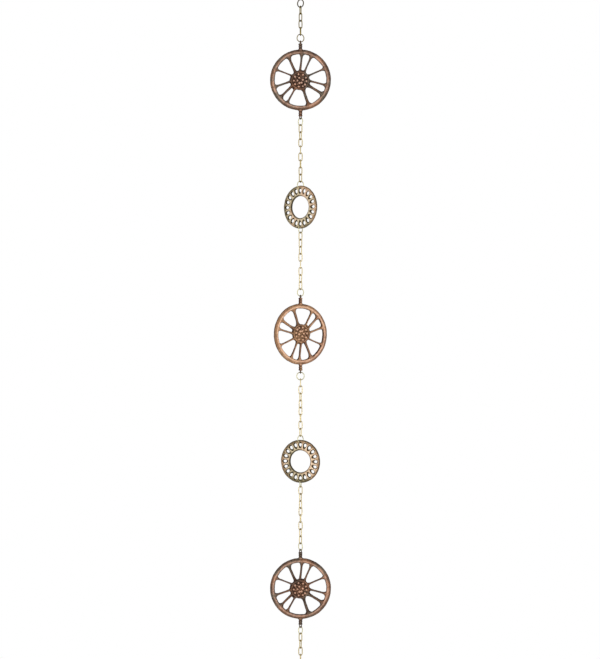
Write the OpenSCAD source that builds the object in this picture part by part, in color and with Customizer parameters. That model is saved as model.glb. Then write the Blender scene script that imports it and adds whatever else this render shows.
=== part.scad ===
// A rain chain: three spoked wheels and two openwork rings, hung one below another on runs of oval links.
// The Z axis is the hanging line. The origin is the inner top of the hanging ring, where a hook bears.

/* [Links] */
// Length of a link over its ends
link_len = 15.2; // [14:0.1:20]
// Width of a link over its sides
link_w = 7; // [6.6:0.1:8]
// Diameter of the wire that the links are bent from
link_wire_d = 1.6; // [1.2:0.05:1.8]
// Gap of the butt seam in a link's side
link_seam = 0.15; // [0.1:0.05:0.4]
// Clearance between two wires that hang on each other
seat_gap = 0.2; // [0.15:0.05:0.4]

/* [Jump rings] */
// Diameter of a jump ring over its wire
jump_ring_d = 14.2; // [13:0.1:16]
// Diameter of the jump rings' wire
jump_wire_d = 1.5; // [1.2:0.05:1.8]
// Gap of the split in a jump ring's side
jump_split = 0.3; // [0.1:0.05:0.6]
// Diameter of the hanging ring over its wire
hanging_ring_d = 14.6; // [14:0.1:18]
// Diameter of the hanging ring's wire
hanging_wire_d = 1.8; // [1.6:0.05:2]

/* [Wheels] */
// Diameter of a wheel over its rim
wheel_d = 101.6; // [95:0.1:120]
// Width of the rim from its outer edge to its inner wall
rim_w = 7.6; // [6:0.1:9]
// Depth of the rim from front to back
rim_depth = 6.4; // [5:0.1:8]
// Radius of the rounded crest along each face of the rim
crest_r = 1.4; // [1:0.05:1.6]
// Radius of the rim's outer edge
rim_edge_r = 1.2; // [0.8:0.05:1.5]
// Width of a plain spoke at its middle
spoke_w = 2.8; // [2.4:0.1:3.5]
// Depth of the spokes from front to back
spoke_depth = 4; // [3:0.1:5]
// Diameter of the hub's disc
hub_d = 32; // [28:0.1:36]
// Thickness of the hub's disc
hub_depth = 5; // [4:0.1:6]
// Diameter of the beads on the hub's faces
bead_d = 4.3; // [3.5:0.1:4.6]
// How far a bead stands out of the hub's face
bead_rise = 1.6; // [1:0.05:2]
// Radius of the outer circle of beads
outer_bead_r = 10.6; // [10:0.1:11]
// Radius of the inner circle of beads
inner_bead_r = 4.5; // [4:0.1:5]
// Diameter of the round moulding along the hub's edge
hub_edge_d = 2; // [1.5:0.1:2.4]

/* [Posts and eyes] */
// Diameter of a post's head
post_d = 6.1; // [5.4:0.1:7]
// Length of a post out of the rim
post_len = 10.2; // [9:0.1:12]
// Diameter of an eye over its wire
eye_d = 7; // [6.8:0.1:8]
// Diameter of the eyes' wire
eye_wire_d = 1.6; // [1.4:0.05:1.8]
// How far an eye stands out of its post
eye_rise = 5.1; // [4.8:0.1:5.5]
// Clearance all round an eye's wire in its post
eye_fit = 0.05; // [0.02:0.01:0.1]

/* [Openwork rings] */
// Diameter of an openwork ring
openwork_d = 71.8; // [68:0.1:80]
// Diameter of the round band that the jump rings pass round
band_d = 4.2; // [3.8:0.1:4.4]
// Diameter of the hole in the middle
openwork_hole_d = 36.8; // [34:0.1:38]
// Width of the smooth band round the hole
inner_band_w = 4.2; // [3.5:0.1:5]
// Depth of the smooth band from front to back
inner_band_depth = 4.4; // [4:0.1:5.5]
// Thickness of the web between the bands
web_t = 2.4; // [2:0.1:3]
// Depth of the raised petal round each window
petal_depth = 3.6; // [3:0.1:4]
// Width of a petal's border
petal_border = 1.3; // [1:0.05:1.5]
// Number of windows
windows = 20; // [16:2:20]
// Width of a window at its wide end
window_w = 4.6; // [4.2:0.1:4.8]
// Length of a window from the band to its point
window_len = 7.4; // [6.5:0.1:8]
// Width of a window at its point
window_point_w = 1.4; // [1:0.1:2]

/* [Turns about the hanging line] */
// The hanging ring, four links and a jump ring
top_turns = [-40, 70, -40, 30, 100, 25];
// From the first wheel to the first openwork ring: a jump ring, eight links and a jump ring
first_turns = [-55, 30, -60, 10, 90, 0, 100, 30, -45, 35];
// From the first openwork ring to the second wheel
second_turns = [60, -30, 40, -50, 20, 90, -20, 50, -40, 35];
// From the second wheel to the second openwork ring
third_turns = [10, 90, -10, 65, -40, 30, 100, 15, 115, 45];
// From the second openwork ring to the third wheel
fourth_turns = [80, -10, 60, -50, 30, 100, 10, -60, 50, -60];
// The tail: a jump ring and four links
tail_turns = [60, -35, 65, -5, 85];
// The three wheels
wheel_turns = [0, 30, 0];
// The two openwork rings
openwork_turns = [-40, -25];
// Top and bottom eye of each wheel
eye_turns = [[100, 55], [-75, 85], [50, -50]];

/* [Spokes, seen from the front] */
// Where the spokes meet the rim, in degrees clockwise from the top
rim_angles = [3, 25, 65, 102, 123, 162, 210, 229, 255, 293, 333];
// Where they leave the hub
hub_angles = [-2, 27, 59, 92, 122, 160, 213, 238, 266, 301, 330];
// Width of each against a plain spoke
spoke_width_shares = [1.2, 1.05, 0.95, 1.05, 1.5, 1.55, 1, 1.35, 1.1, 0.9, 1.45];
// Where the outer beads sit, in degrees clockwise from the top
outer_bead_angles = [345, 27, 64, 96, 129, 157, 194, 232, 267, 304];
// Where the inner beads sit
inner_bead_angles = [341, 77, 147, 195, 270];

/* [Hidden] */
$fn = 48;
cut = 1; // overrun of the cuts that pass right through a piece
wheel_tops_down = [false, true, false]; // the second wheel hangs upside down

// Half width of a spoke along its length: share of the way out from the hub, share of the spoke's width
spoke_outline_shares = [[0, 1.15], [0.06, 0.78], [0.14, 0.6], [0.3, 0.5], [0.7, 0.5], [0.82, 0.58], [0.9, 0.78],
                        [0.95, 1.1], [1, 1.8]];
// A post's outline from inside the rim to its end: share of its radius, share of its length
post_outline_shares = [[1.3, -0.2], [1.25, 0], [0.98, 0.1], [0.84, 0.24], [0.84, 0.34], [1, 0.4],
                       [1, 0.56], [0.88, 0.6], [0.88, 0.64], [1, 0.68], [1, 0.93], [0.84, 1]];
rim_inner_r = wheel_d / 2 - rim_w;
eye_r = (eye_d - eye_wire_d) / 2;
eye_z = wheel_d / 2 + post_len + eye_rise - eye_d / 2;
band_r = (openwork_d - band_d) / 2;
window_end_r = band_r - band_d / 2;

// A run of the chain: links between two end pieces
function run_of(turns, top_end = "jump_ring", bottom_end = "jump_ring") =
    [for (i = [0 : len(turns) - 1])
        [i == 0 ? top_end : i == len(turns) - 1 ? bottom_end : "link", turns[i]]];

// Every piece that hangs on the one before it: its kind, and its turn about the hanging line
pieces = concat(
    run_of(top_turns, top_end = "hanging_ring"),
    [["wheel", wheel_turns[0]]], run_of(first_turns),
    [["openwork_ring", openwork_turns[0]]], run_of(second_turns),
    [["wheel", wheel_turns[1]]], run_of(third_turns),
    [["openwork_ring", openwork_turns[1]]], run_of(fourth_turns),
    [["wheel", wheel_turns[2]]], run_of(tail_turns, bottom_end = "link"));
last = len(pieces) - 1;

function kind(k) = pieces[k][0];
function turn(k) = pieces[k][1];
function ordinal(k) = len([for (i = [0 : k]) if (kind(i) == kind(k)) i]);
function two_digits(n) = str(n < 10 ? "0" : "", n);
function name(k) =
    kind(k) == "hanging_ring" ? kind(k) :
    kind(k) == "link" || kind(k) == "jump_ring" ? str(kind(k), "_", two_digits(ordinal(k))) :
    str(kind(k), "_", ordinal(k));

// The wire, or the round band, that a piece hangs by at both of its ends
function wire_d(k) =
    kind(k) == "link" ? link_wire_d :
    kind(k) == "jump_ring" ? jump_wire_d :
    kind(k) == "hanging_ring" ? hanging_wire_d :
    kind(k) == "wheel" ? eye_wire_d : band_d;
// From the middle of that wire at the top of a piece to its middle at the bottom
function rise(k) =
    kind(k) == "link" ? link_len - link_wire_d :
    kind(k) == "jump_ring" ? jump_ring_d - jump_wire_d :
    kind(k) == "hanging_ring" ? hanging_ring_d - hanging_wire_d :
    kind(k) == "wheel" ? 2 * (eye_z + eye_r) : 2 * band_r;
function bottom_z(k) =
    k == 0 ? wire_d(0) / 2 - rise(0)
           : bottom_z(k - 1) + (wire_d(k - 1) + wire_d(k)) / 2 + seat_gap - rise(k);

wheels_at = [for (k = [0 : last]) if (kind(k) == "wheel") k];
function eyes_name(i) = str("wheel_", i + 1, "_eyes");

// Puts a piece that stands in the XZ plane, round the origin, in its place on the hanging line
module hang(k) {
    translate([0, 0, bottom_z(k) + rise(k) / 2]) rotate([0, 0, turn(k)]) children();
}

// Part of a ring of round wire in the XY plane: where it starts, and the angle that it covers
module wire_arc(r, d, from, sweep) {
    rotate([0, 0, from]) rotate_extrude(angle = sweep) translate([r, 0]) circle(d = d);
}

// A whole ring of round wire, standing in the XZ plane
module wire_ring(r, d) {
    rotate([90, 0, 0]) rotate_extrude() translate([r, 0]) circle(d = d);
}

module link() {
    end_r = (link_w - link_wire_d) / 2;
    leg = link_len - link_w;
    color("#d8cdb4") difference() {
        rotate([90, 0, 0]) for (end = [0, 180]) rotate([0, 0, end]) {
            translate([0, leg / 2]) wire_arc(end_r, link_wire_d, 0, 180);
            translate([end_r, 0]) rotate([90, 0, 0]) cylinder(d = link_wire_d, h = leg, center = true);
        }
        translate([end_r, 0, 0]) cube([2 * link_wire_d, 2 * link_wire_d, link_seam], center = true);
    }
}

module jump_ring() {
    r = (jump_ring_d - jump_wire_d) / 2;
    split = 2 * asin(jump_split / (2 * r));
    color("#cfc5ac") rotate([90, 0, 0]) wire_arc(r, jump_wire_d, split / 2, 360 - split);
}

module hanging_ring() {
    color("#8f8467") wire_ring((hanging_ring_d - hanging_wire_d) / 2, hanging_wire_d);
}

// Points on an arc, from one angle to another
function arc_points(centre, r, from, to, steps) =
    [for (i = [0 : steps]) centre + r * [cos(from + (to - from) * i / steps),
                                         sin(from + (to - from) * i / steps)]];

// Turns the front half of a section, from its outer edge to its inner wall, into a full ring
module ring_of(front) {
    back = [for (i = [len(front) - 1 : -1 : 0]) if (front[i][1] > 0) [front[i][0], -front[i][1]]];
    rotate_extrude() polygon(concat(front, back));
}

module rim() {
    crest = [rim_inner_r + crest_r, rim_depth / 2 - crest_r];
    edge = [wheel_d / 2 - rim_edge_r, 0];
    bevel = 90 - atan2(crest[1], edge[0] - crest[0]);
    ring_of(concat(arc_points(edge, rim_edge_r, 0, bevel, 2), arc_points(crest, crest_r, bevel, 180, 4)));
}

function place(r, angle) = [r * sin(angle), r * cos(angle)];

module spoke(i) {
    inner = place(hub_d / 2 - hub_edge_d, hub_angles[i]);
    outer = place(rim_inner_r + crest_r, rim_angles[i]);
    w = spoke_w * spoke_width_shares[i];
    way = outer - inner;
    aside = [way[1], -way[0]] / norm(way);
    one_side = [for (p = spoke_outline_shares) inner + p[0] * way + p[1] * w * aside];
    other_side = [for (j = [len(spoke_outline_shares) - 1 : -1 : 0])
        inner + spoke_outline_shares[j][0] * way - spoke_outline_shares[j][1] * w * aside];
    linear_extrude(spoke_depth, center = true) polygon(concat(one_side, other_side));
}

module bead(r, angle) {
    for (side = [-1, 1])
        translate(concat(place(r, angle), side * (hub_depth / 2 + bead_rise - bead_d / 2))) sphere(d = bead_d);
}

module hub() {
    disc_r = hub_d / 2 - hub_edge_d;
    edge_at = [hub_d / 2 - hub_edge_d / 2, hub_depth / 2];
    cylinder(r = disc_r + hub_edge_d / 2, h = hub_depth, center = true);
    ring_of(arc_points(edge_at, hub_edge_d / 2, 0, 180, 6));
    for (angle = outer_bead_angles) bead(outer_bead_r, angle);
    for (angle = inner_bead_angles) bead(inner_bead_r, angle);
}

module post() {
    translate([0, 0, wheel_d / 2]) rotate_extrude()
        polygon(concat([[0, post_outline_shares[0][1] * post_len]],
                       [for (p = post_outline_shares) [p[0] * post_d / 2, p[1] * post_len]],
                       [[0, post_len]]));
}

// Both eyes of a wheel, or the seats that they take in its posts
module eyes(i, clearance) {
    for (end = [0, 1])
        translate([0, 0, (1 - 2 * end) * eye_z]) rotate([0, 0, eye_turns[i][end] - wheel_turns[i]])
            wire_ring(eye_r, eye_wire_d + 2 * clearance);
}

module wheel(i) {
    color("#8a6853") difference() {
        union() {
            rotate([90, 0, 0]) rotate([0, 0, wheel_tops_down[i] ? 180 : 0]) {
                rim();
                hub();
                for (s = [0 : len(rim_angles) - 1]) spoke(s);
            }
            for (end = [0, 180]) rotate([0, end, 0]) post();
        }
        eyes(i, eye_fit);
    }
}

module wheel_eyes(i) {
    color("#6e5646") eyes(i, 0);
}

// A window's outline, or with a border the petal round it, with its wide end towards the band
module window_outline(border) {
    wide_r = window_w / 2 + border;
    point_w = window_point_w + 2 * border;
    wide_at = window_end_r - window_w / 2 + cut;
    translate([0, wide_at]) circle(r = wide_r);
    polygon([[-wide_r, wide_at], [wide_r, wide_at],
             [point_w / 2, window_end_r - window_len - border],
             [-point_w / 2, window_end_r - window_len - border]]);
}

module openwork_ring() {
    hole_r = openwork_hole_d / 2;
    color("#8c7a55") rotate([90, 0, 0]) {
        rotate_extrude() translate([band_r, 0]) circle(d = band_d);
        difference() {
            union() {
                cylinder(r = band_r, h = web_t, center = true);
                for (i = [0 : windows - 1]) rotate([0, 0, i * 360 / windows])
                    linear_extrude(petal_depth, center = true) window_outline(petal_border);
                cylinder(r = hole_r + inner_band_w, h = inner_band_depth, center = true);
            }
            for (i = [0 : windows - 1]) rotate([0, 0, i * 360 / windows])
                linear_extrude(inner_band_depth + cut, center = true) window_outline(0);
            cylinder(r = hole_r, h = inner_band_depth + cut, center = true);
        }
    }
}

for (k = [0 : last]) {
    hang(k) {
        if (kind(k) == "hanging_ring") hanging_ring();
        if (kind(k) == "jump_ring") jump_ring();
        if (kind(k) == "link") link();
        if (kind(k) == "wheel") wheel(ordinal(k) - 1);
        if (kind(k) == "openwork_ring") openwork_ring();
    }
}
for (i = [0 : len(wheels_at) - 1]) {
    hang(wheels_at[i]) wheel_eyes(i);
}
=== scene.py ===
import math
import random

import bmesh
import bpy
from mathutils import Matrix, Vector, noise


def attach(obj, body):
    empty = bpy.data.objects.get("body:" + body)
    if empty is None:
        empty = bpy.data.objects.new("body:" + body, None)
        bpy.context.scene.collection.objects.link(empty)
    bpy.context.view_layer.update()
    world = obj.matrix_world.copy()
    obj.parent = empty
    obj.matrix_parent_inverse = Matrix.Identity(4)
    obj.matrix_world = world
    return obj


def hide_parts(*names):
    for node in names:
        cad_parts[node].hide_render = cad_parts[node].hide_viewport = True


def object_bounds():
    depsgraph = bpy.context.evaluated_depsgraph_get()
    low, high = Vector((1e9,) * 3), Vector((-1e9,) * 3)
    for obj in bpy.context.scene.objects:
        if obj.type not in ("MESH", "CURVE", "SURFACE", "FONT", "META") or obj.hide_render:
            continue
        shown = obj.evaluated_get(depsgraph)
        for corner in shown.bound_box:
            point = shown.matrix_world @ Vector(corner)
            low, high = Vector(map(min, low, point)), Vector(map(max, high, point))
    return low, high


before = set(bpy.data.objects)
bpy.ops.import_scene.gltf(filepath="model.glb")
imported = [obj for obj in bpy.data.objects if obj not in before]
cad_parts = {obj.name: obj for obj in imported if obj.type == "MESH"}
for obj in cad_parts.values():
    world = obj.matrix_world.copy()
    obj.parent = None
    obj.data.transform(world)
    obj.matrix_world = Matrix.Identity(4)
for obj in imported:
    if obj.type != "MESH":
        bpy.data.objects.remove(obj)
cadBox = [list(corner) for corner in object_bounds()]
print("frame loaded,", len(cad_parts), "nodes")

mm = 0.001
scene = bpy.context.scene
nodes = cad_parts


# Camera, lamps, floor and sky

picture = {
    "wide": 600, "high": 659,  # pixels
    "pixel": 1.671 * mm,  # size of one at the chain
    "chainColumn": 300.5,  # where the hanging line runs
    "originRow": 0.1,  # where the hanging ring's inner top is
    "away": 4.0,  # from the lens to the chain
}


def makeCamera():
    data = bpy.data.cameras.new("camera")
    camera = bpy.data.objects.new("camera", data)
    scene.collection.objects.link(camera)
    scene.camera = camera
    x = (picture["wide"] / 2 - picture["chainColumn"]) * picture["pixel"]
    z = (picture["originRow"] - picture["high"] / 2) * picture["pixel"]
    camera.location = (x, -picture["away"], z)
    camera.rotation_euler = (math.pi / 2, 0, 0)
    data.lens = data.sensor_width * picture["away"] / (picture["high"] * picture["pixel"])
    data.clip_start, data.clip_end = 0.1, 50


studio = {
    "softboxes": [  # place, what it faces, width, height, power
        ((-1.5, -2.3, -1.2), (0, 0, -0.55), 0.7, 1.8, 18),
        ((1.9, -1.9, -0.7), (0, 0, -0.55), 0.4, 1.8, 8),
        ((0.4, 2.2, 0.2), (0, 0, -0.55), 1.2, 1.2, 7),
        ((0.0, -1.0, 1.4), (0, 0, -0.6), 0.9, 0.9, 4),
    ],
    "sky": 0.5,  # how strongly the sky lights what isn't shiny
    "floorDrop": 150 * mm,  # below the last link
    "floorReach": 3.0,
    "floorSteps": 96,
    "floorColor": (0.88, 0.87, 0.86, 1),
    "floorRoughness": 0.7,
    "floorGlow": 0.5,  # lifts the shaded floor to white where the lens sees it
    "floorFade": (0.2, 0.7),  # from the shaded floor to plain white
}


def addNode(tree, kind, **settings):
    node = tree.nodes.new(kind)
    for key, value in settings.items():
        setattr(node, key, value)
    return node


def feed(tree, socket, value):
    if isinstance(value, bpy.types.NodeSocket):
        tree.links.new(value, socket)
    else:
        socket.default_value = value


def calculate(tree, operation, *values):
    node = addNode(tree, "ShaderNodeMath", operation=operation)
    for socket, value in zip(node.inputs, values):
        feed(tree, socket, value)
    return node.outputs[0]


def fromTo(tree, value, low, high, start=0.0, end=1.0):
    node = addNode(tree, "ShaderNodeMapRange", interpolation_type="SMOOTHSTEP")
    labels = ("Value", "From Min", "From Max", "To Min", "To Max")
    for label, given in zip(labels, (value, low, high, start, end)):
        feed(tree, node.inputs[label], given)
    return node.outputs["Result"]


def blendColors(tree, share, first, second):
    node = addNode(tree, "ShaderNodeMix", data_type="RGBA")
    feed(tree, node.inputs[0], share)
    feed(tree, node.inputs[6], first)
    feed(tree, node.inputs[7], second)
    return node.outputs[2]


def noiseAt(tree, where, perMetre, detail, roughness):
    node = addNode(tree, "ShaderNodeTexNoise")
    feed(tree, node.inputs["Vector"], where)
    for label, value in (("Scale", perMetre), ("Detail", detail), ("Roughness", roughness)):
        node.inputs[label].default_value = value
    return node.outputs["Fac"]


def seenWhite(tree):  # 1 where the lens, or a shiny surface, looks at the background
    rays = addNode(tree, "ShaderNodeLightPath").outputs
    either = calculate(tree, "MAXIMUM", rays["Is Camera Ray"], rays["Is Glossy Ray"])
    return calculate(tree, "MAXIMUM", either, rays["Is Transmission Ray"])


def makeLamps():
    for i, (place, target, wide, high, power) in enumerate(studio["softboxes"]):
        data = bpy.data.lights.new(f"softbox_{i + 1}", "AREA")
        data.shape, data.size, data.size_y, data.energy = "RECTANGLE", wide, high, power
        lamp = bpy.data.objects.new(data.name, data)
        scene.collection.objects.link(lamp)
        lamp.location = place
        lamp.rotation_euler = (Vector(target) - Vector(place)).to_track_quat("-Z", "Y").to_euler()


def makeSky():
    world = bpy.data.worlds.new("whiteRoom")
    scene.world = world
    world.use_nodes = True
    tree = world.node_tree
    sky = tree.nodes["Background"]
    sky.inputs["Color"].default_value = (1, 1, 1, 1)
    strength = calculate(tree, "MAXIMUM", seenWhite(tree), studio["sky"])
    tree.links.new(strength, sky.inputs["Strength"])


def makeFloor():
    bm = bmesh.new()
    bmesh.ops.create_circle(bm, cap_ends=True, segments=studio["floorSteps"], radius=studio["floorReach"])
    floor = bpy.data.objects.new("floor", bpy.data.meshes.new("floor"))
    bm.to_mesh(floor.data)
    bm.free()
    floor.location.z = cadBox[0][2] - studio["floorDrop"]
    scene.collection.objects.link(floor)
    pale = bpy.data.materials.new("paleFloor")
    pale.use_nodes = True
    tree = pale.node_tree
    shaded = tree.nodes["Principled BSDF"]
    shaded.inputs["Base Color"].default_value = studio["floorColor"]
    shaded.inputs["Roughness"].default_value = studio["floorRoughness"]
    plain = addNode(tree, "ShaderNodeEmission")
    coords = addNode(tree, "ShaderNodeTexCoord").outputs["Object"]
    away = addNode(tree, "ShaderNodeVectorMath", operation="LENGTH")
    tree.links.new(coords, away.inputs[0])
    far = fromTo(tree, away.outputs["Value"], *studio["floorFade"])
    seen = seenWhite(tree)
    glow = addNode(tree, "ShaderNodeEmission")
    feed(tree, glow.inputs["Strength"], calculate(tree, "MULTIPLY", seen, studio["floorGlow"]))
    lifted = addNode(tree, "ShaderNodeAddShader")
    tree.links.new(shaded.outputs[0], lifted.inputs[0])
    tree.links.new(glow.outputs[0], lifted.inputs[1])
    both = addNode(tree, "ShaderNodeMixShader")
    feed(tree, both.inputs[0], calculate(tree, "MULTIPLY", far, seen))
    tree.links.new(lifted.outputs[0], both.inputs[1])
    tree.links.new(plain.outputs[0], both.inputs[2])
    tree.links.new(both.outputs[0], tree.nodes["Material Output"].inputs["Surface"])
    floor.data.materials.append(pale)


makeCamera()
makeLamps()
makeSky()
makeFloor()
scene.view_settings.view_transform = "Standard"
print("studio made")


# Finishes

def makeGroup(name, colors, values, outputs):  # the outputs beside Color
    tree = bpy.data.node_groups.new(name, "ShaderNodeTree")
    for way, kind, labels in (
            ("INPUT", "NodeSocketColor", colors), ("INPUT", "NodeSocketFloat", values),
            ("OUTPUT", "NodeSocketColor", ["Color"]), ("OUTPUT", "NodeSocketFloat", outputs)):
        for label in labels:
            tree.interface.new_socket(label, in_out=way, socket_type=kind)
    return tree, addNode(tree, "NodeGroupInput").outputs, addNode(tree, "NodeGroupOutput").inputs


def maskFrom(tree, attribute):
    return addNode(tree, "ShaderNodeAttribute", attribute_name=attribute).outputs["Fac"]


def addShare(tree, total, mask, share, middle):  # the mask adds its share above its middle and takes it below
    return calculate(tree, "MULTIPLY_ADD", calculate(tree, "SUBTRACT", mask, middle), share, total)


patina = {
    "noises": {  # bumps in a metre, detail, roughness
        "broad": (28, 2, 0.55), "patches": (170, 4, 0.6), "grain": (1100, 3, 0.65)},
    "wearAndShade": {  # each mask's share in the wear and painted shade, and its middle; the upward mask paints shade on faces that look up
        "relief": (0.5, 0), "reached": (0.55, 0), "facing": (0.5, 0.8), "upwardShade": (-0.16, 0),
        "patches": (0.55, 0.5), "broad": (0.5, 0.5), "grain": (0.25, 0.5)},
    "tintFrom": (0.44, 0.6),  # the noise over which the tint comes in
    "dulling": (34, 2, 0.55), "dullingShift": (3, 1, 2),  # the shift parts it from the broad noise
    "dullFrom": (0.48, 0.62),  # the same for the dull patches
    "bodyFrom": (0.05, 0.5),  # the wear and painted shade over which the hollow's colour becomes the body's
    "rubbedFrom": (0.5, 1.0),  # and the body's the rubbed crests'
    "roughness": (0.1, 1.0, 0.66, 0.38),  # from which wear and painted shade to which, its value at the first and the last
    "metallic": (0.1, 0.8, 0.25, 0.75),
    "patchHeight": 0.6,  # against the grain's
}


def makeCastPatina():
    # Dark in the hollows and on the walls, rubbed bright on the crests, mottled between, with painted shade
    # on faces that look up
    tree, given, out = makeGroup(
        "castPatina", ["Hollow", "Body", "Rubbed", "Tint", "Rubbed Tint", "Dull"],
        ["Tint Amount", "Tint Side", "Dull Amount", "Wear", "Lighter Rightwards"], ["Roughness", "Metallic", "Height"])
    where = addNode(tree, "ShaderNodeTexCoord").outputs["Object"]
    masks = {name: noiseAt(tree, where, *values) for name, values in patina["noises"].items()}
    masks |= {name: maskFrom(tree, name) for name in ("relief", "reached", "facing", "upwardShade")}
    across = addNode(tree, "ShaderNodeSeparateXYZ")
    tree.links.new(where, across.inputs[0])
    # lighter to the right and darker to the left across the piece, by the given side amount
    wearAndShade = calculate(tree, "MULTIPLY_ADD", across.outputs["X"], given["Lighter Rightwards"], given["Wear"])
    # the upward mask darkens faces that look up, a painted shade
    for name, (share, middle) in patina["wearAndShade"].items():
        wearAndShade = addShare(tree, wearAndShade, masks[name], share, middle)
    tinting = calculate(tree, "MULTIPLY_ADD", across.outputs["X"], given["Tint Side"], masks["broad"])
    tinting = calculate(tree, "MULTIPLY", fromTo(tree, tinting, *patina["tintFrom"]), given["Tint Amount"])
    body = blendColors(tree, tinting, given["Body"], given["Tint"])
    shifted = addNode(tree, "ShaderNodeVectorMath", operation="ADD")
    tree.links.new(where, shifted.inputs[0])
    shifted.inputs[1].default_value = patina["dullingShift"]
    dulling = noiseAt(tree, shifted.outputs[0], *patina["dulling"])
    dulling = calculate(tree, "MULTIPLY", fromTo(tree, dulling, *patina["dullFrom"]), given["Dull Amount"])
    body = blendColors(tree, dulling, body, given["Dull"])
    color = blendColors(tree, fromTo(tree, wearAndShade, *patina["bodyFrom"]), given["Hollow"], body)
    rubbed = blendColors(tree, tinting, given["Rubbed"], given["Rubbed Tint"])
    feed(tree, out["Color"], blendColors(tree, fromTo(tree, wearAndShade, *patina["rubbedFrom"]), color, rubbed))
    feed(tree, out["Roughness"], fromTo(tree, wearAndShade, *patina["roughness"]))
    feed(tree, out["Metallic"], fromTo(tree, wearAndShade, *patina["metallic"]))
    height = calculate(tree, "MULTIPLY_ADD", masks["patches"], patina["patchHeight"], masks["grain"])
    feed(tree, out["Height"], height)
    return tree


wireShadeAndTarnish = {
    "noises": {"stretch": (14, 1, 0.55), "patches": (170, 4, 0.6), "grain": (2200, 2, 0.55)},
    "shares": {"stretch": 0.7, "patches": 0.6, "grain": 0.25},  # of each in how dark it is
    "bendShare": 0.6,
    "roughness": (0.24, 0.5),  # bright, darkened by tarnish and painted shade
}


def makeWireTarnish():
    # Bright drawn wire that has tarnished where it rubs on its neighbours, with painted shade where the
    # neighbouring wires overlap
    tree, given, out = makeGroup("wireTarnishAndShade", ["Bright", "Tarnished And Shaded"], ["Tarnish"], ["Roughness", "Height"])
    where = addNode(tree, "ShaderNodeTexCoord").outputs["Object"]
    masks = {name: noiseAt(tree, where, *values) for name, values in wireShadeAndTarnish["noises"].items()}
    dark = calculate(tree, "MULTIPLY_ADD", maskFrom(tree, "tarnishAndShade"), wireShadeAndTarnish["bendShare"], given["Tarnish"])
    for name, share in wireShadeAndTarnish["shares"].items():
        dark = addShare(tree, dark, masks[name], share, 0.5)
    feed(tree, out["Color"], blendColors(tree, fromTo(tree, dark, 0, 1), given["Bright"], given["Tarnished And Shaded"]))
    feed(tree, out["Roughness"], fromTo(tree, dark, 0, 1, *wireShadeAndTarnish["roughness"]))
    feed(tree, out["Height"], masks["grain"])
    return tree


finishes = {}


def makeFinish(name, group, look, edge, bump=(0.3, 0.1)):
    # edge is the tint of the slanting reflections, bump the strength and the depth in mm
    material = bpy.data.materials.new(name)
    material.use_nodes = True
    tree = material.node_tree
    shader = tree.nodes["Principled BSDF"]
    finish = addNode(tree, "ShaderNodeGroup", node_tree=group)
    for label, value in look.items():
        finish.inputs[label].default_value = value
    tree.links.new(finish.outputs["Color"], shader.inputs["Base Color"])
    tree.links.new(finish.outputs["Roughness"], shader.inputs["Roughness"])
    shader.inputs["Specular Tint"].default_value = edge
    if "Metallic" in finish.outputs:
        tree.links.new(finish.outputs["Metallic"], shader.inputs["Metallic"])
    else:
        shader.inputs["Metallic"].default_value = 1
    raised = addNode(tree, "ShaderNodeBump")
    raised.inputs["Strength"].default_value, raised.inputs["Distance"].default_value = bump[0], bump[1] * mm
    tree.links.new(finish.outputs["Height"], raised.inputs["Height"])
    tree.links.new(raised.outputs["Normal"], shader.inputs["Normal"])
    finishes[name] = material


castPatina = makeCastPatina()
wireTarnishAndShade = makeWireTarnish()
openworkLook = {
    "Hollow": (0.055, 0.042, 0.02, 1), "Body": (0.23, 0.175, 0.1, 1), "Rubbed": (0.74, 0.62, 0.42, 1),
    "Tint": (0.44, 0.25, 0.14, 1), "Rubbed Tint": (0.8, 0.57, 0.41, 1),
    "Dull": (0.15, 0.135, 0.07, 1), "Dull Amount": 0.6}
makeFinish("antiqueCopper", castPatina, {
    "Hollow": (0.05, 0.025, 0.017, 1), "Body": (0.19, 0.115, 0.08, 1), "Rubbed": (0.56, 0.35, 0.26, 1),
    "Tint": (0.26, 0.125, 0.07, 1), "Rubbed Tint": (0.6, 0.34, 0.23, 1), "Tint Amount": 0.8,
    "Dull": (0.16, 0.145, 0.11, 1), "Dull Amount": 0.75, "Wear": 0.44}, (0.25, 0.18, 0.14, 1))
makeFinish("brightCopper", castPatina, {
    "Hollow": (0.085, 0.042, 0.025, 1), "Body": (0.37, 0.195, 0.115, 1), "Rubbed": (0.72, 0.44, 0.31, 1),
    "Tint": (0.43, 0.24, 0.12, 1), "Rubbed Tint": (0.72, 0.45, 0.28, 1), "Tint Amount": 0.7,
    "Dull": (0.22, 0.16, 0.1, 1), "Dull Amount": 0.3, "Wear": 0.52}, (0.3, 0.2, 0.14, 1))
# the first openwork ring is darker and greener to the left, lighter and pinker to the right
makeFinish("sidedBrass", castPatina, openworkLook | {
    "Tint Amount": 0.8, "Tint Side": 8.0, "Wear": 0.64, "Lighter Rightwards": 5.0}, (0.3, 0.25, 0.15, 1))
makeFinish("antiqueBrass", castPatina, openworkLook | {
    "Tint Amount": 0.6, "Tint Side": 1.5, "Wear": 0.48, "Lighter Rightwards": 1.5}, (0.3, 0.25, 0.15, 1))
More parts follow.
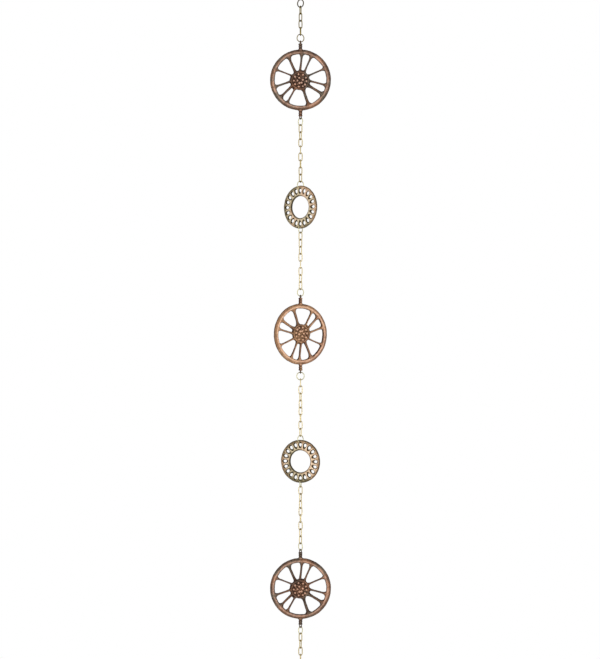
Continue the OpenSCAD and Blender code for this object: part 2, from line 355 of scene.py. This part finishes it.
# the dark colour of each wire finish stands for tarnish and for painted shade where the wires overlap
makeFinish("paleBrass", wireTarnishAndShade, {
    "Bright": (0.69, 0.58, 0.32, 1), "Tarnished And Shaded": (0.2, 0.135, 0.065, 1), "Tarnish": 0.19},
    (0.5, 0.42, 0.26, 1), (0.12, 0.05))
makeFinish("warmBrass", wireTarnishAndShade, {
    "Bright": (0.56, 0.46, 0.22, 1), "Tarnished And Shaded": (0.18, 0.115, 0.05, 1), "Tarnish": 0.2},
    (0.42, 0.34, 0.2, 1), (0.12, 0.05))
makeFinish("greyBrass", wireTarnishAndShade, {
    "Bright": (0.66, 0.62, 0.38, 1), "Tarnished And Shaded": (0.2, 0.175, 0.1, 1), "Tarnish": 0.17},
    (0.46, 0.43, 0.28, 1), (0.12, 0.05))
makeFinish("duskBrass", wireTarnishAndShade, {
    "Bright": (0.32, 0.25, 0.07, 1), "Tarnished And Shaded": (0.085, 0.06, 0.02, 1), "Tarnish": 0.36},
    (0.25, 0.2, 0.07, 1), (0.15, 0.05))
makeFinish("smokedBrass", wireTarnishAndShade, {
    "Bright": (0.09, 0.068, 0.015, 1), "Tarnished And Shaded": (0.03, 0.02, 0.005, 1), "Tarnish": 0.45},
    (0.06, 0.05, 0.012, 1), (0.15, 0.05))
makeFinish("copperWire", wireTarnishAndShade, {
    "Bright": (0.16, 0.098, 0.064, 1), "Tarnished And Shaded": (0.04, 0.026, 0.019, 1), "Tarnish": 0.45},
    (0.2, 0.13, 0.09, 1), (0.15, 0.05))
print("finishes made")


# Shaping

merging = 0.001 * mm  # points nearer than this become one


def within(value, low=0, high=1):
    return min(max(value, low), high)


def keepMask(mesh, name, values):  # one value for each point, for the finishes
    mesh.attributes.new(name, "FLOAT", "POINT").data.foreach_set("value", values)


def addPiece(name, mesh, body, replaced, finish):
    mesh.name = name
    piece = bpy.data.objects.new(name, mesh)
    scene.collection.objects.link(piece)
    mesh.materials.clear()
    mesh.materials.append(finishes[finish])
    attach(piece, body)
    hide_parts(replaced)


def partsOf(verts, kind):  # their link_edges or link_faces, each once, in the order of the points
    return list(dict.fromkeys(part for v in verts for part in getattr(v, kind)))


def spinPoints(bm, points, axis, steps, closed):
    known = set(bm.verts)
    verts = [bm.verts.new(p) for p in points]
    edges = [bm.edges.new(pair) for pair in zip(verts, verts[1:])]
    if closed:
        edges.append(bm.edges.new((verts[-1], verts[0])))
    bmesh.ops.spin(bm, geom=verts + edges, cent=(0, 0, 0), axis=axis, dvec=(0, 0, 0), angle=2 * math.pi,
                   steps=steps, use_merge=True, use_normal_flip=False, use_duplicate=False)
    made = [v for v in bm.verts if v not in known]
    bmesh.ops.remove_doubles(bm, verts=made, dist=merging)
    made = [v for v in bm.verts if v not in known]
    bmesh.ops.recalc_face_normals(bm, faces=partsOf(made, "link_faces"))
    return made


def wholeSection(front):  # from its front half in mm
    whole = [(r, -y) for r, y in front] + [(r, y) for r, y in reversed(front) if y > 0]
    return [Vector((r, y, 0)) * mm for r, y in whole]


def drawOut(bm, stations, sides, shape=None):
    # A round bar through the stations, each a matrix that sizes and places a circle 1 across
    ends = bmesh.ops.create_circle(bm, cap_ends=True, segments=sides, radius=0.5)["verts"]
    made = list(ends)
    if shape:
        shape(ends)
    bmesh.ops.transform(bm, matrix=stations[0], verts=ends)
    startCap = face = ends[0].link_faces[0]
    for before, after in zip(stations, stations[1:]):
        grown = bmesh.ops.extrude_face_region(bm, geom=[face])["geom"]
        if face != startCap:
            bmesh.ops.delete(bm, geom=[face], context="FACES_ONLY")
        face = next(g for g in grown if isinstance(g, bmesh.types.BMFace))
        bmesh.ops.transform(bm, matrix=after @ before.inverted(), verts=face.verts)
        made += list(face.verts)
    bmesh.ops.recalc_face_normals(bm, faces=partsOf(made, "link_faces"))


def newMesh(bm, name):
    mesh = bpy.data.meshes.new(name)
    bm.to_mesh(mesh)
    bm.free()
    return mesh


def withModifiers(mesh, *modifiers):  # kind and settings of each
    piece = bpy.data.objects.new("shaping", mesh)
    scene.collection.objects.link(piece)
    for kind, settings in modifiers:
        modifier = piece.modifiers.new(kind, kind)
        for key, value in settings.items():
            setattr(modifier, key, value)
    view = bpy.context.evaluated_depsgraph_get()
    shaped = bpy.data.meshes.new_from_object(piece.evaluated_get(view))
    bpy.data.objects.remove(piece)
    return shaped


def levelAt(levels, radius):
    for (fromRadius, low), (toRadius, high) in zip(levels, levels[1:]):
        if radius <= toRadius:
            return low + (high - low) * (radius - fromRadius) / (toRadius - fromRadius)
    return levels[-1][1]


def smoothOnce(bm):
    bmesh.ops.smooth_vert(bm, verts=bm.verts, factor=0.5, use_axis_x=True, use_axis_y=True, use_axis_z=True)


maskRange = (-1, 0.6)  # the least and the most of relief and of reached


def castSurface(mesh, cast):
    # Rounds the fused shape as a mould does, roughens it, and keeps what a rubbing cloth would reach
    bm = bmesh.new()
    bm.from_mesh(mesh)
    for _ in range(cast["rounding"]):
        smoothOnce(bm)
    bm.normal_update()
    lifts = [sum(height * noise.noise(v.co / (size * mm) + Vector((seed, 0, 0)))
                 for size, height, seed in cast["waves"]) for v in bm.verts]
    for v, lift in zip(bm.verts, lifts):
        v.co += v.normal * lift * mm
    bm.normal_update()
    bm.to_mesh(mesh)
    start = [(v.co.copy(), v.normal.copy()) for v in bm.verts]
    for _ in range(cast["reach"]):
        smoothOnce(bm)
    relief = [(co - v.co).dot(normal) / (cast["proud"] * mm) for v, (co, normal) in zip(bm.verts, start)]
    bm.free()
    reached = [abs(co.y) / mm - levelAt(cast["levels"], math.hypot(co.x, co.z) / mm) for co, _ in start]
    keepMask(mesh, "relief", [within(r, *maskRange) for r in relief])
    keepMask(mesh, "reached", [within(r / cast["fall"], *maskRange) for r in reached])
    keepMask(mesh, "facing", [abs(normal.y) for _, normal in start])
    mesh.polygons.foreach_set("use_smooth", [True] * len(mesh.polygons))
    return mesh


def hungUp(cast, place):  # a copy of a casting in its place, with how far each point faces up, for the painted shade on upward faces
    mesh = cast.copy()
    mesh.transform(place)
    keepMask(mesh, "upwardShade", [normal.vector.z for normal in mesh.vertex_normals])
    return mesh


def turnOf(points):  # the turn about the hanging line of a flat upright piece
    midX = sum(p.x for p in points) / len(points)
    midY = sum(p.y for p in points) / len(points)
    xx = sum((p.x - midX) ** 2 for p in points)
    yy = sum((p.y - midY) ** 2 for p in points)
    xy = sum((p.x - midX) * (p.y - midY) for p in points)
    return 0.5 * math.atan2(2 * xy, xx - yy)


def placeOf(node, points=None):  # where the frame has a flat upright piece
    points = points or [v.co for v in nodes[node].data.vertices]
    low = min(p.z for p in points)
    high = max(p.z for p in points)
    return Matrix.Translation((0, 0, (low + high) / 2)) @ Matrix.Rotation(turnOf(points), 4, "Z")


# Wheels

wheel = {
    "rim": [  # radius, front of the section
        (50.9, 0), (50.8, 0.8), (50.3, 1.5), (49.5, 1.95), (48.7, 2.2), (47.8, 2.65), (46.8, 3.1),
        (45.7, 3.35), (44.7, 3.2), (43.9, 2.7), (43.3, 1.8), (43.0, 0.8)],
    "hub": [
        (0, 2.4), (11.8, 2.4), (12.9, 2.45), (13.6, 2.75), (14.4, 2.9), (15.1, 2.65), (15.7, 2.0),
        (16.0, 1.2)],
    "hubShift": (-0.5, -0.9),  # the hub is a little off the rim's middle
    "beadSize": 4.3, "beadProud": 1.6, "hubFace": 2.5,
    "beadVaries": (0.94, 1.06), "beadStrays": (-2, 2),  # share of its size, degrees
    "outerBeads": (10.6, [345, 27, 64, 96, 129, 157, 194, 232, 267, 304]),  # radius, degrees from the top
    "innerBeads": (4.5, [341, 77, 147, 195, 270]),
    "pips": (7.6, [5, 50, 112, 175, 214, 250, 288, 322]), "pipSize": 1.9,
    "spokeSize": (3.15, 4.0),  # across, front to back
    "spokeReach": (14.6, 44.6),  # the radii that one runs between
    "spokes": [  # degrees at the hub and at the rim, share of the usual width
        (-2, 3, 1.2), (27, 25, 1.05), (59, 65, 0.95), (92, 102, 1.05), (122, 123, 1.5), (160, 162, 1.55),
        (213, 210, 1), (238, 229, 1.35), (266, 255, 1.1), (301, 293, 0.9), (330, 333, 1.45)],
    "spokeShape": [  # share of the way out, shares of the width and of the depth
        (-0.03, 2.3, 1.3), (0.03, 1.9, 1.25), (0.07, 1.5, 1.15), (0.12, 1.2, 1.05), (0.2, 1.02, 1),
        (0.35, 0.94, 1), (0.55, 0.96, 1), (0.7, 1, 1), (0.8, 1.12, 1.04), (0.86, 1.4, 1.14),
        (0.905, 1.95, 1.3), (0.935, 2.6, 1.42), (0.96, 3.4, 1.5), (1, 4.6, 1.5)],
    "spokeVaries": (0.95, 1.05),  # its width from place to place
    "spokeBow": 0.4,  # the most that one bends aside
    "spokeSides": 16,
    "webs": [  # where two spokes run together at the hub: degrees, reach, width
        (283, 17.7, 9), (252, 17.5, 6.5), (226, 18.9, 6), (344, 17.0, 8), (13, 17.5, 7), (315, 16.8, 8),
        (107, 16.9, 7.5)],
    "webShape": [(0.6, 1), (0.95, 0.92), (1, 0.8)],  # share of the reach, share of the width
    "webDeep": 0.9,  # share of a spoke's depth
    "post": [  # radius, height
        (0, 47.5), (3.0, 47.5), (3.6, 49.4), (4.0, 50.6), (3.5, 51.5), (3.0, 52.4), (2.75, 53.4), (2.8, 54.4),
        (3.1, 55.1), (3.3, 55.7), (3.25, 56.5), (2.95, 56.9), (2.65, 57.2), (2.65, 57.6), (3.0, 58.0),
        (3.35, 58.5), (3.45, 59.6), (3.2, 60.5), (2.5, 61.0), (1.4, 61.1), (0, 61.1)],
    "postDeep": (0.72, 50.5, 54.0),  # share of its depth at the rim, the heights over which it grows whole
    "rimSteps": 160, "hubSteps": 72, "postSteps": 28,
    "voxel": 0.45 * mm,
    "cast": {
        "rounding": 2,  # how often its edges are smoothed
        "reach": 60, "proud": 0.8,  # smoothings that flatten the relief, mm above it that count as 1
        "levels": [  # radius, how far from the middle plane the casting is rubbed there
            (0, 3.1), (12.5, 3.2), (14.5, 3.75), (17, 3.2), (41.5, 2.9), (43.2, 3.1), (45, 2.95), (48, 2.75),
            (50.9, 2.7), (52, 3.4), (61, 4.6)],
        "fall": 1.8,  # further in it is as dark as it gets
        "waves": [(9, 0.2, 3.1), (3.4, 0.18, 8.7), (1.3, 0.06, 5.3)]},  # size, height, seed
    "slot": "wheel_casting",
    "looks": ["antiqueCopper", "brightCopper", "antiqueCopper"],
    "topsDown": [False, True, False],
}


def onWheel(radius, degrees, front=0.0):
    a = math.radians(degrees)
    return Vector((radius * math.sin(a), -front, radius * math.cos(a))) * mm


def drawSpoke(bm, start, end, shape, bow):  # shape: share of the way out, width and depth in mm
    along = (end - start).normalized()
    across = Vector((0, 1, 0)).cross(along)
    turn = Matrix((across, (0, 1, 0), along)).transposed().to_4x4()
    stations = []
    for way, wide, deep in shape:
        middle = start.lerp(end, way) + across * bow * mm * math.sin(math.pi * within(way))
        stations.append(Matrix.Translation(middle) @ turn @ Matrix.Diagonal((wide * mm, deep * mm, mm, 1)))
    drawOut(bm, stations, wheel["spokeSides"])


def castWheel():
    chance = random.Random(11)
    bm = bmesh.new()
    spinPoints(bm, wholeSection(wheel["rim"]), (0, 1, 0), wheel["rimSteps"], True)
    shift = Vector((wheel["hubShift"][0], 0, wheel["hubShift"][1])) * mm
    hub = spinPoints(bm, wholeSection(wheel["hub"]), (0, 1, 0), wheel["hubSteps"], False)
    bmesh.ops.translate(bm, verts=hub, vec=shift)
    beads = [(wheel[ring][0], degrees, wheel["beadSize"]) for ring in ("outerBeads", "innerBeads")
             for degrees in wheel[ring][1]]
    beads += [(wheel["pips"][0], degrees, wheel["pipSize"]) for degrees in wheel["pips"][1]]
    for radius, degrees, size in beads:
        for side in (1, -1):
            size *= chance.uniform(*wheel["beadVaries"])
            out = wheel["hubFace"] + size * wheel["beadProud"] / wheel["beadSize"] - size / 2
            middle = onWheel(radius, degrees + chance.uniform(*wheel["beadStrays"]), side * out) + shift
            bmesh.ops.create_icosphere(bm, subdivisions=3, radius=size / 2 * mm,
                                       matrix=Matrix.Translation(middle))
    wide, deep = wheel["spokeSize"]
    for atHub, atRim, share in wheel["spokes"]:
        bow = chance.uniform(-1, 1) * wheel["spokeBow"]
        shape = [(way, wide * share * widening * chance.uniform(*wheel["spokeVaries"]), deep * thickening)
                 for way, widening, thickening in wheel["spokeShape"]]
        start = onWheel(wheel["spokeReach"][0], atHub) + shift
        drawSpoke(bm, start, onWheel(wheel["spokeReach"][1], atRim), shape, bow)
    for degrees, reach, width in wheel["webs"]:
        shape = [(way, width * share, deep * wheel["webDeep"]) for way, share in wheel["webShape"]]
        drawSpoke(bm, shift, onWheel(reach, degrees) + shift, shape, 0)
    outline = [Vector((r, 0, z)) * mm for r, z in wheel["post"]]
    atRim, low, high = wheel["postDeep"]
    for down in (False, True):
        post = spinPoints(bm, outline, (0, 0, 1), wheel["postSteps"], False)
        for v in post:
            grown = within((v.co.z / mm - low) / (high - low))
            v.co.y *= atRim + (1 - atRim) * grown
        if down:
            bmesh.ops.rotate(bm, verts=post, cent=(0, 0, 0), matrix=Matrix.Rotation(math.pi, 3, "Y"))
    remesh = ("REMESH", {"mode": "VOXEL", "voxel_size": wheel["voxel"]})
    return castSurface(withModifiers(newMesh(bm, "wheelShells"), remesh), wheel["cast"])


wheelMesh = castWheel()
for i, (look, topDown) in enumerate(zip(wheel["looks"], wheel["topsDown"])):
    node = f"wheel_{i + 1}"
    mesh = hungUp(wheelMesh, placeOf(node) @ Matrix.Rotation(math.pi if topDown else 0, 4, "Y"))
    addPiece(f"wheelCasting_{i + 1}", mesh, node, node, look)
bpy.data.meshes.remove(wheelMesh)
print("wheels cast")


# Openwork rings

openwork = {
    "section": [  # radius, front
        (18.4, 0), (18.5, 0.9), (18.95, 1.5), (19.7, 1.9), (20.6, 2.1), (21.6, 2.15), (22.6, 2.15),
        (25.0, 2.15), (28.5, 2.1), (31.2, 2.0), (32.6, 1.95), (33.8, 1.85), (34.9, 1.5), (35.6, 0.9),
        (35.9, 0.3)],
    "windows": 20,
    "window": (4.9, 6.2, 31.0),  # width, length, radius of its outer end
    "windowFace": (7.4, 12.4, 33.5),  # the same where its slopes reach the face
    "neck": 0.3,  # how much it narrows inwards
    "slope": (0.4, 2.0),  # where the slope starts and ends, from the middle out
    "overrun": 3.0,  # how far from the middle the cut ends
    "windowSides": 24, "steps": 160,
    "voxel": 0.34 * mm,
    "cast": {  # as the wheel's
        "rounding": 2, "reach": 50, "proud": 0.55,
        "levels": [(0, 2.7), (18.4, 2.7), (20.2, 2.3), (21.2, 1.9), (29, 1.9), (32.5, 2.15), (36, 2.4)],
        "fall": 1.0,
        "waves": [(7, 0.15, 1.7), (2.6, 0.14, 4.9), (1.1, 0.05, 2.3)]},
    "slot": "openwork_casting",
    "looks": ["sidedBrass", "antiqueBrass"],
}


def teardrop(verts):  # narrows the inner half of a circle 1 across towards its end
    for v in verts:
        inwards = max(0, -v.co.y * 2)
        v.co.x *= 1 - openwork["neck"] * inwards


def castOpenwork():
    bm = bmesh.new()
    spinPoints(bm, wholeSection(openwork["section"]), (0, 1, 0), openwork["steps"], True)
    solid = newMesh(bm, "openworkSolid")

    bm = bmesh.new()
    standing = Matrix.Rotation(math.pi / 2, 4, "X")  # the drawn outline's top points up, its face forwards
    inner, outer, over = *openwork["slope"], openwork["overrun"]
    through, face = openwork["window"], openwork["windowFace"]
    cuts = ((-over, face), (-outer, face), (-inner, through), (inner, through), (outer, face), (over, face))
    for i in range(openwork["windows"]):
        turn = Matrix.Rotation(2 * math.pi * i / openwork["windows"], 4, "Y")
        stations = []
        for y, (wide, long, end) in cuts:
            size = Matrix.Diagonal((wide * mm, long * mm, mm, 1))
            middle = Matrix.Translation(Vector((0, y, end - long / 2)) * mm)
            stations.append(turn @ middle @ standing @ size)
        drawOut(bm, stations, openwork["windowSides"], teardrop)
    cutter = bpy.data.objects.new("windowCutter", newMesh(bm, "windowCutter"))
    scene.collection.objects.link(cutter)
    fused = withModifiers(
        solid, ("BOOLEAN", {"object": cutter, "operation": "DIFFERENCE", "solver": "EXACT"}),
        ("REMESH", {"mode": "VOXEL", "voxel_size": openwork["voxel"]}))
    bpy.data.objects.remove(cutter)
    return castSurface(fused, openwork["cast"])


openworkMesh = castOpenwork()
for i, look in enumerate(openwork["looks"]):
    node = f"openwork_ring_{i + 1}"
    mesh = hungUp(openworkMesh, placeOf(node))
    addPiece(f"openworkCasting_{i + 1}", mesh, node, node, look)
bpy.data.meshes.remove(openworkMesh)
print("openwork rings cast")


# Links, jump rings and eyes

wire = {
    "sides": 12, "ringSteps": 56,
    "cutEnd": (0.12, 0.05),  # how far its face is inset and stands out, shares of the thickness
    "ringTarnishAndShade": (0.6, 2),  # share of a ring's radius above which the tarnish and painted shade come in, how fast
}


def openLoops(bm):  # the loops of open edges, each as its edges
    left = [e for e in bm.edges if e.is_boundary]
    loops = []
    while left:
        loop = [left.pop()]
        for edge in loop:
            for near in partsOf(edge.verts, "link_edges"):
                if near in left:
                    left.remove(near)
                    loop.append(near)
        loops.append(loop)
    return loops


def middleOf(loop):
    ends = [v.co for e in loop for v in e.verts]
    return sum(ends, Vector()) / len(ends)


def capLoop(bm, loop, thickness):
    cap = bmesh.ops.contextual_create(bm, geom=loop)["faces"]
    inset, out = wire["cutEnd"]
    bmesh.ops.inset_region(bm, faces=cap, thickness=thickness * inset * mm, depth=thickness * out * mm)


def wireCircle(bm, size, radius):  # where a bend starts, its points and edges
    start = bmesh.ops.create_circle(bm, segments=wire["sides"], radius=size["wire"] / 2 * mm,
                                    matrix=Matrix.Translation((radius * mm, 0, 0)))["verts"]
    return start, partsOf(start, "link_edges")


def wireMesh(bm, name, tarnishAndShade):  # its last argument gives the tarnish, and the painted shade where neighbours overlap, at a point
    bmesh.ops.remove_doubles(bm, verts=bm.verts, dist=merging)
    bmesh.ops.recalc_face_normals(bm, faces=bm.faces)
    values = [tarnishAndShade(v.co) for v in bm.verts]
    mesh = newMesh(bm, name)
    keepMask(mesh, "tarnishAndShade", values)
    mesh.polygons.foreach_set("use_smooth", [True] * len(mesh.polygons))
    return mesh


ovalLink = {
    "long": 15.2, "wide": 7.0, "wire": 1.6,
    "seam": 0.12,  # the gap where its ends meet
    "bow": 0.22, "bowVaries": (0.5, 1.2), "bowEnds": 0.6,  # where it ends, share of an end's radius
    "bendSteps": 14, "legCuts": 4,
    "tarnishAndShadeFrom": (0.3, 0.95),  # share of an end's radius over which the tarnish and the painted shade where the next link overlaps come in
    "finishes": [  # from the top, with the last link of each
        (4, "duskBrass"), (12, "warmBrass"), (36, "paleBrass"), (40, "warmBrass")],
    "slot": "chain_wire",
}


def bendLink(chance):
    endRadius = (ovalLink["wide"] - ovalLink["wire"]) / 2
    leg = ovalLink["long"] - ovalLink["wide"]
    bm = bmesh.new()
    for side in (1, -1):
        known = set(bm.verts)
        start, edges = wireCircle(bm, ovalLink, endRadius)
        bmesh.ops.spin(bm, geom=start + edges, cent=(0, 0, 0), axis=(0, -side, 0), dvec=(0, 0, 0),
                       angle=math.pi, steps=ovalLink["bendSteps"], use_merge=False, use_normal_flip=False,
                       use_duplicate=False)
        made = [v for v in bm.verts if v not in known]
        bmesh.ops.translate(bm, verts=made, vec=(0, 0, side * leg / 2 * mm))
    left = [loop for loop in openLoops(bm) if middleOf(loop).x < 0]
    bmesh.ops.bridge_loops(bm, edges=left[0] + left[1])
    for loop in [loop for loop in openLoops(bm) if middleOf(loop).x > 0]:
        side = 1 if middleOf(loop).z > 0 else -1
        grown = bmesh.ops.extrude_edge_only(bm, edges=loop)["geom"]
        verts = [g for g in grown if isinstance(g, bmesh.types.BMVert)]
        bmesh.ops.translate(bm, verts=verts, vec=(0, 0, -side * (leg - ovalLink["seam"]) / 2 * mm))
        ends = [e for e in bm.edges if e.is_boundary and all(v in verts for v in e.verts)]
        capLoop(bm, ends, ovalLink["wire"])
    legs = [e for e in bm.edges if e.calc_length() > leg / 4 * mm]
    bmesh.ops.subdivide_edges(bm, edges=legs, cuts=ovalLink["legCuts"], use_grid_fill=True)
    reach = (leg / 2 + endRadius * ovalLink["bowEnds"]) * mm
    bow = [ovalLink["bow"] * chance.uniform(*ovalLink["bowVaries"]) * mm for _ in range(2)]
    for v in bm.verts:
        near = max(0, 1 - (v.co.z / reach) ** 2)
        v.co.x += (bow[0] if v.co.x > 0 else -bow[1]) * near ** 1.5
    low, high = ovalLink["tarnishAndShadeFrom"]

    # darker at the end bends: tarnish, and painted shade where the next link's wire overlaps
    def tarnishAndShade(co):
        t = (abs(co.z) / mm - leg / 2) / endRadius
        return within((t - low) / (high - low)) ** 2

    return wireMesh(bm, "link", tarnishAndShade)


splitRing = {
    "across": 14.2, "wire": 1.5, "split": 0.3, "stagger": 0.12,
    "finish": "greyBrass", "darker": {"jump_ring_01": "duskBrass"},
    "slot": "chain_wire",
}
topRing = {"across": 14.6, "wire": 1.8, "finish": "smokedBrass", "slot": "hanging_ring"}
wheelEye = {"across": 7.0, "wire": 1.6, "finish": "copperWire", "slot": "wheel_eyes"}


def bendRing(size):
    bm = bmesh.new()
    radius = (size["across"] - size["wire"]) / 2
    start, edges = wireCircle(bm, size, radius)
    split = size.get("split", 0)
    gap = split / radius
    bmesh.ops.rotate(bm, verts=start, cent=(0, 0, 0), matrix=Matrix.Rotation(-gap / 2, 3, "Y"))
    bmesh.ops.spin(bm, geom=start + edges, cent=(0, 0, 0), axis=(0, -1, 0), dvec=(0, 0, 0),
                   angle=2 * math.pi - gap, steps=wire["ringSteps"], use_merge=not split,
                   use_normal_flip=False, use_duplicate=False)
    if split:
        for loop in openLoops(bm):
            capLoop(bm, loop, size["wire"])
        for v in bm.verts:  # the two ends don't quite meet
            nearSplit = max(0, v.co.x / (radius * mm)) ** 4
            v.co.y += size["stagger"] * mm * nearSplit * (1 if v.co.z > 0 else -1)
    low, rise = wire["ringTarnishAndShade"]

    # darker at the top and bottom: tarnish, and painted shade where the neighbours hang
    def tarnishAndShade(co):
        return max(0, abs(co.z) / (radius * mm) - low) * rise

    return wireMesh(bm, "ring", tarnishAndShade)


chance = random.Random(5)
for name in sorted(nodes):
    flip = Matrix.Rotation(chance.choice((0, math.pi)), 4, "Z")  # its seam to either side
    number = name[-2:]
    if name.startswith("link"):
        mesh = bendLink(chance)
        mesh.transform(placeOf(name) @ flip)
        finish = next(look for last, look in ovalLink["finishes"] if int(number) <= last)
        addPiece(f"ovalLink_{number}", mesh, name, name, finish)
    if name.startswith("jump_ring"):
        mesh = bendRing(splitRing)
        mesh.transform(placeOf(name) @ flip)
        finish = splitRing["darker"].get(name, splitRing["finish"])
        addPiece(f"splitRing_{number}", mesh, name, name, finish)
    if name == "hanging_ring":
        mesh = bendRing(topRing)
        mesh.transform(placeOf(name))
        addPiece("topRing", mesh, name, name, topRing["finish"])
    if name.endswith("_eyes"):
        points = [v.co for v in nodes[name].data.vertices]
        middle = sum(p.z for p in points) / len(points)
        bm = bmesh.new()
        for half in ([p for p in points if p.z > middle], [p for p in points if p.z < middle]):
            mesh = bendRing(wheelEye)
            mesh.transform(placeOf(name, half))
            bm.from_mesh(mesh)
            bpy.data.meshes.remove(mesh)
        casting = name.removesuffix("_eyes")
        addPiece(f"wheelEyes_{casting[-1]}", newMesh(bm, name), casting, name,
                 wheelEye["finish"])
print("wires bent")
